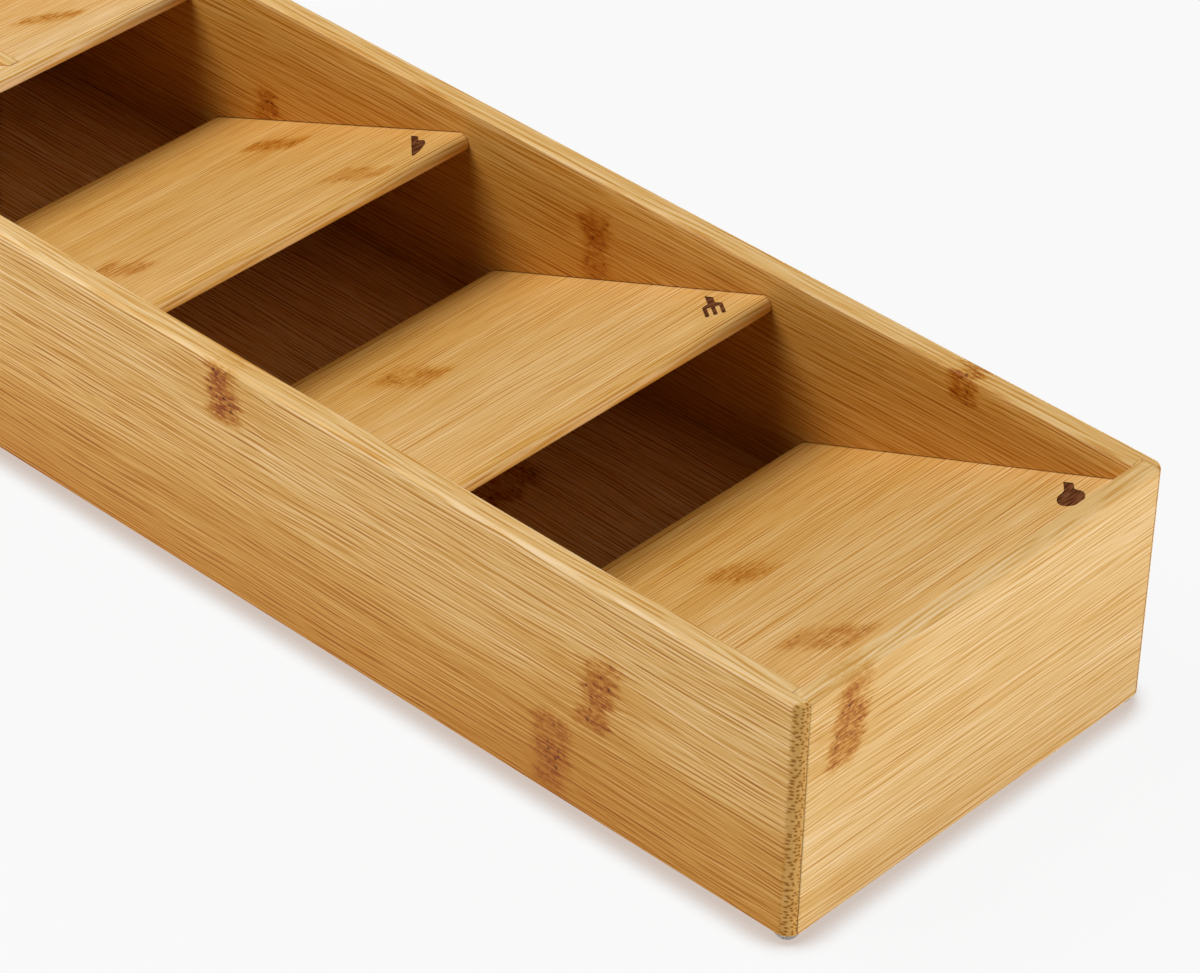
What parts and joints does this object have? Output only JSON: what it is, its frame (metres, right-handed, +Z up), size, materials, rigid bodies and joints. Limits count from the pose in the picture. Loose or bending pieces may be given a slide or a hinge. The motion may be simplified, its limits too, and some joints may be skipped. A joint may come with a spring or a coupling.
{
  "type": "cutlery tray",
  "caption": "Long narrow bamboo drawer tray with inclined, overlapping shelves: the heads of cutlery lie in view on each slope and the handles tuck under the next.",
  "frame": {"origin": "bottom centre of the tray, on the plane that its feet stand on", "axes": "+X along the tray towards the end where the spoons lie, +Y towards the back side wall, +Z up"},
  "size_m": [0.3962, 0.113, 0.0614],
  "materials": {
    "bamboo_wall": "satin lacquer over laminated bamboo strips",
    "bamboo_base": "satin lacquer over laminated bamboo strips",
    "bamboo_ramp": "satin lacquer over laminated bamboo strips",
    "clear_bumper": "clear soft dome"
  },
  "bodies": {
    "root": {"back_left_foot": "clear_bumper", "back_right_foot": "clear_bumper", "back_side_wall": "bamboo_wall", "base_panel": "bamboo_base", "fork_ramp": "bamboo_ramp", "front_left_foot": "clear_bumper", "front_right_foot": "clear_bumper", "front_side_wall": "bamboo_wall", "knife_ramp": "bamboo_ramp", "left_end_wall": "bamboo_wall", "right_end_wall": "bamboo_wall", "spoon_ramp": "bamboo_ramp", "teaspoon_divider": "bamboo_ramp", "teaspoon_ramp": "bamboo_ramp"}
  },
  "joints": []
}
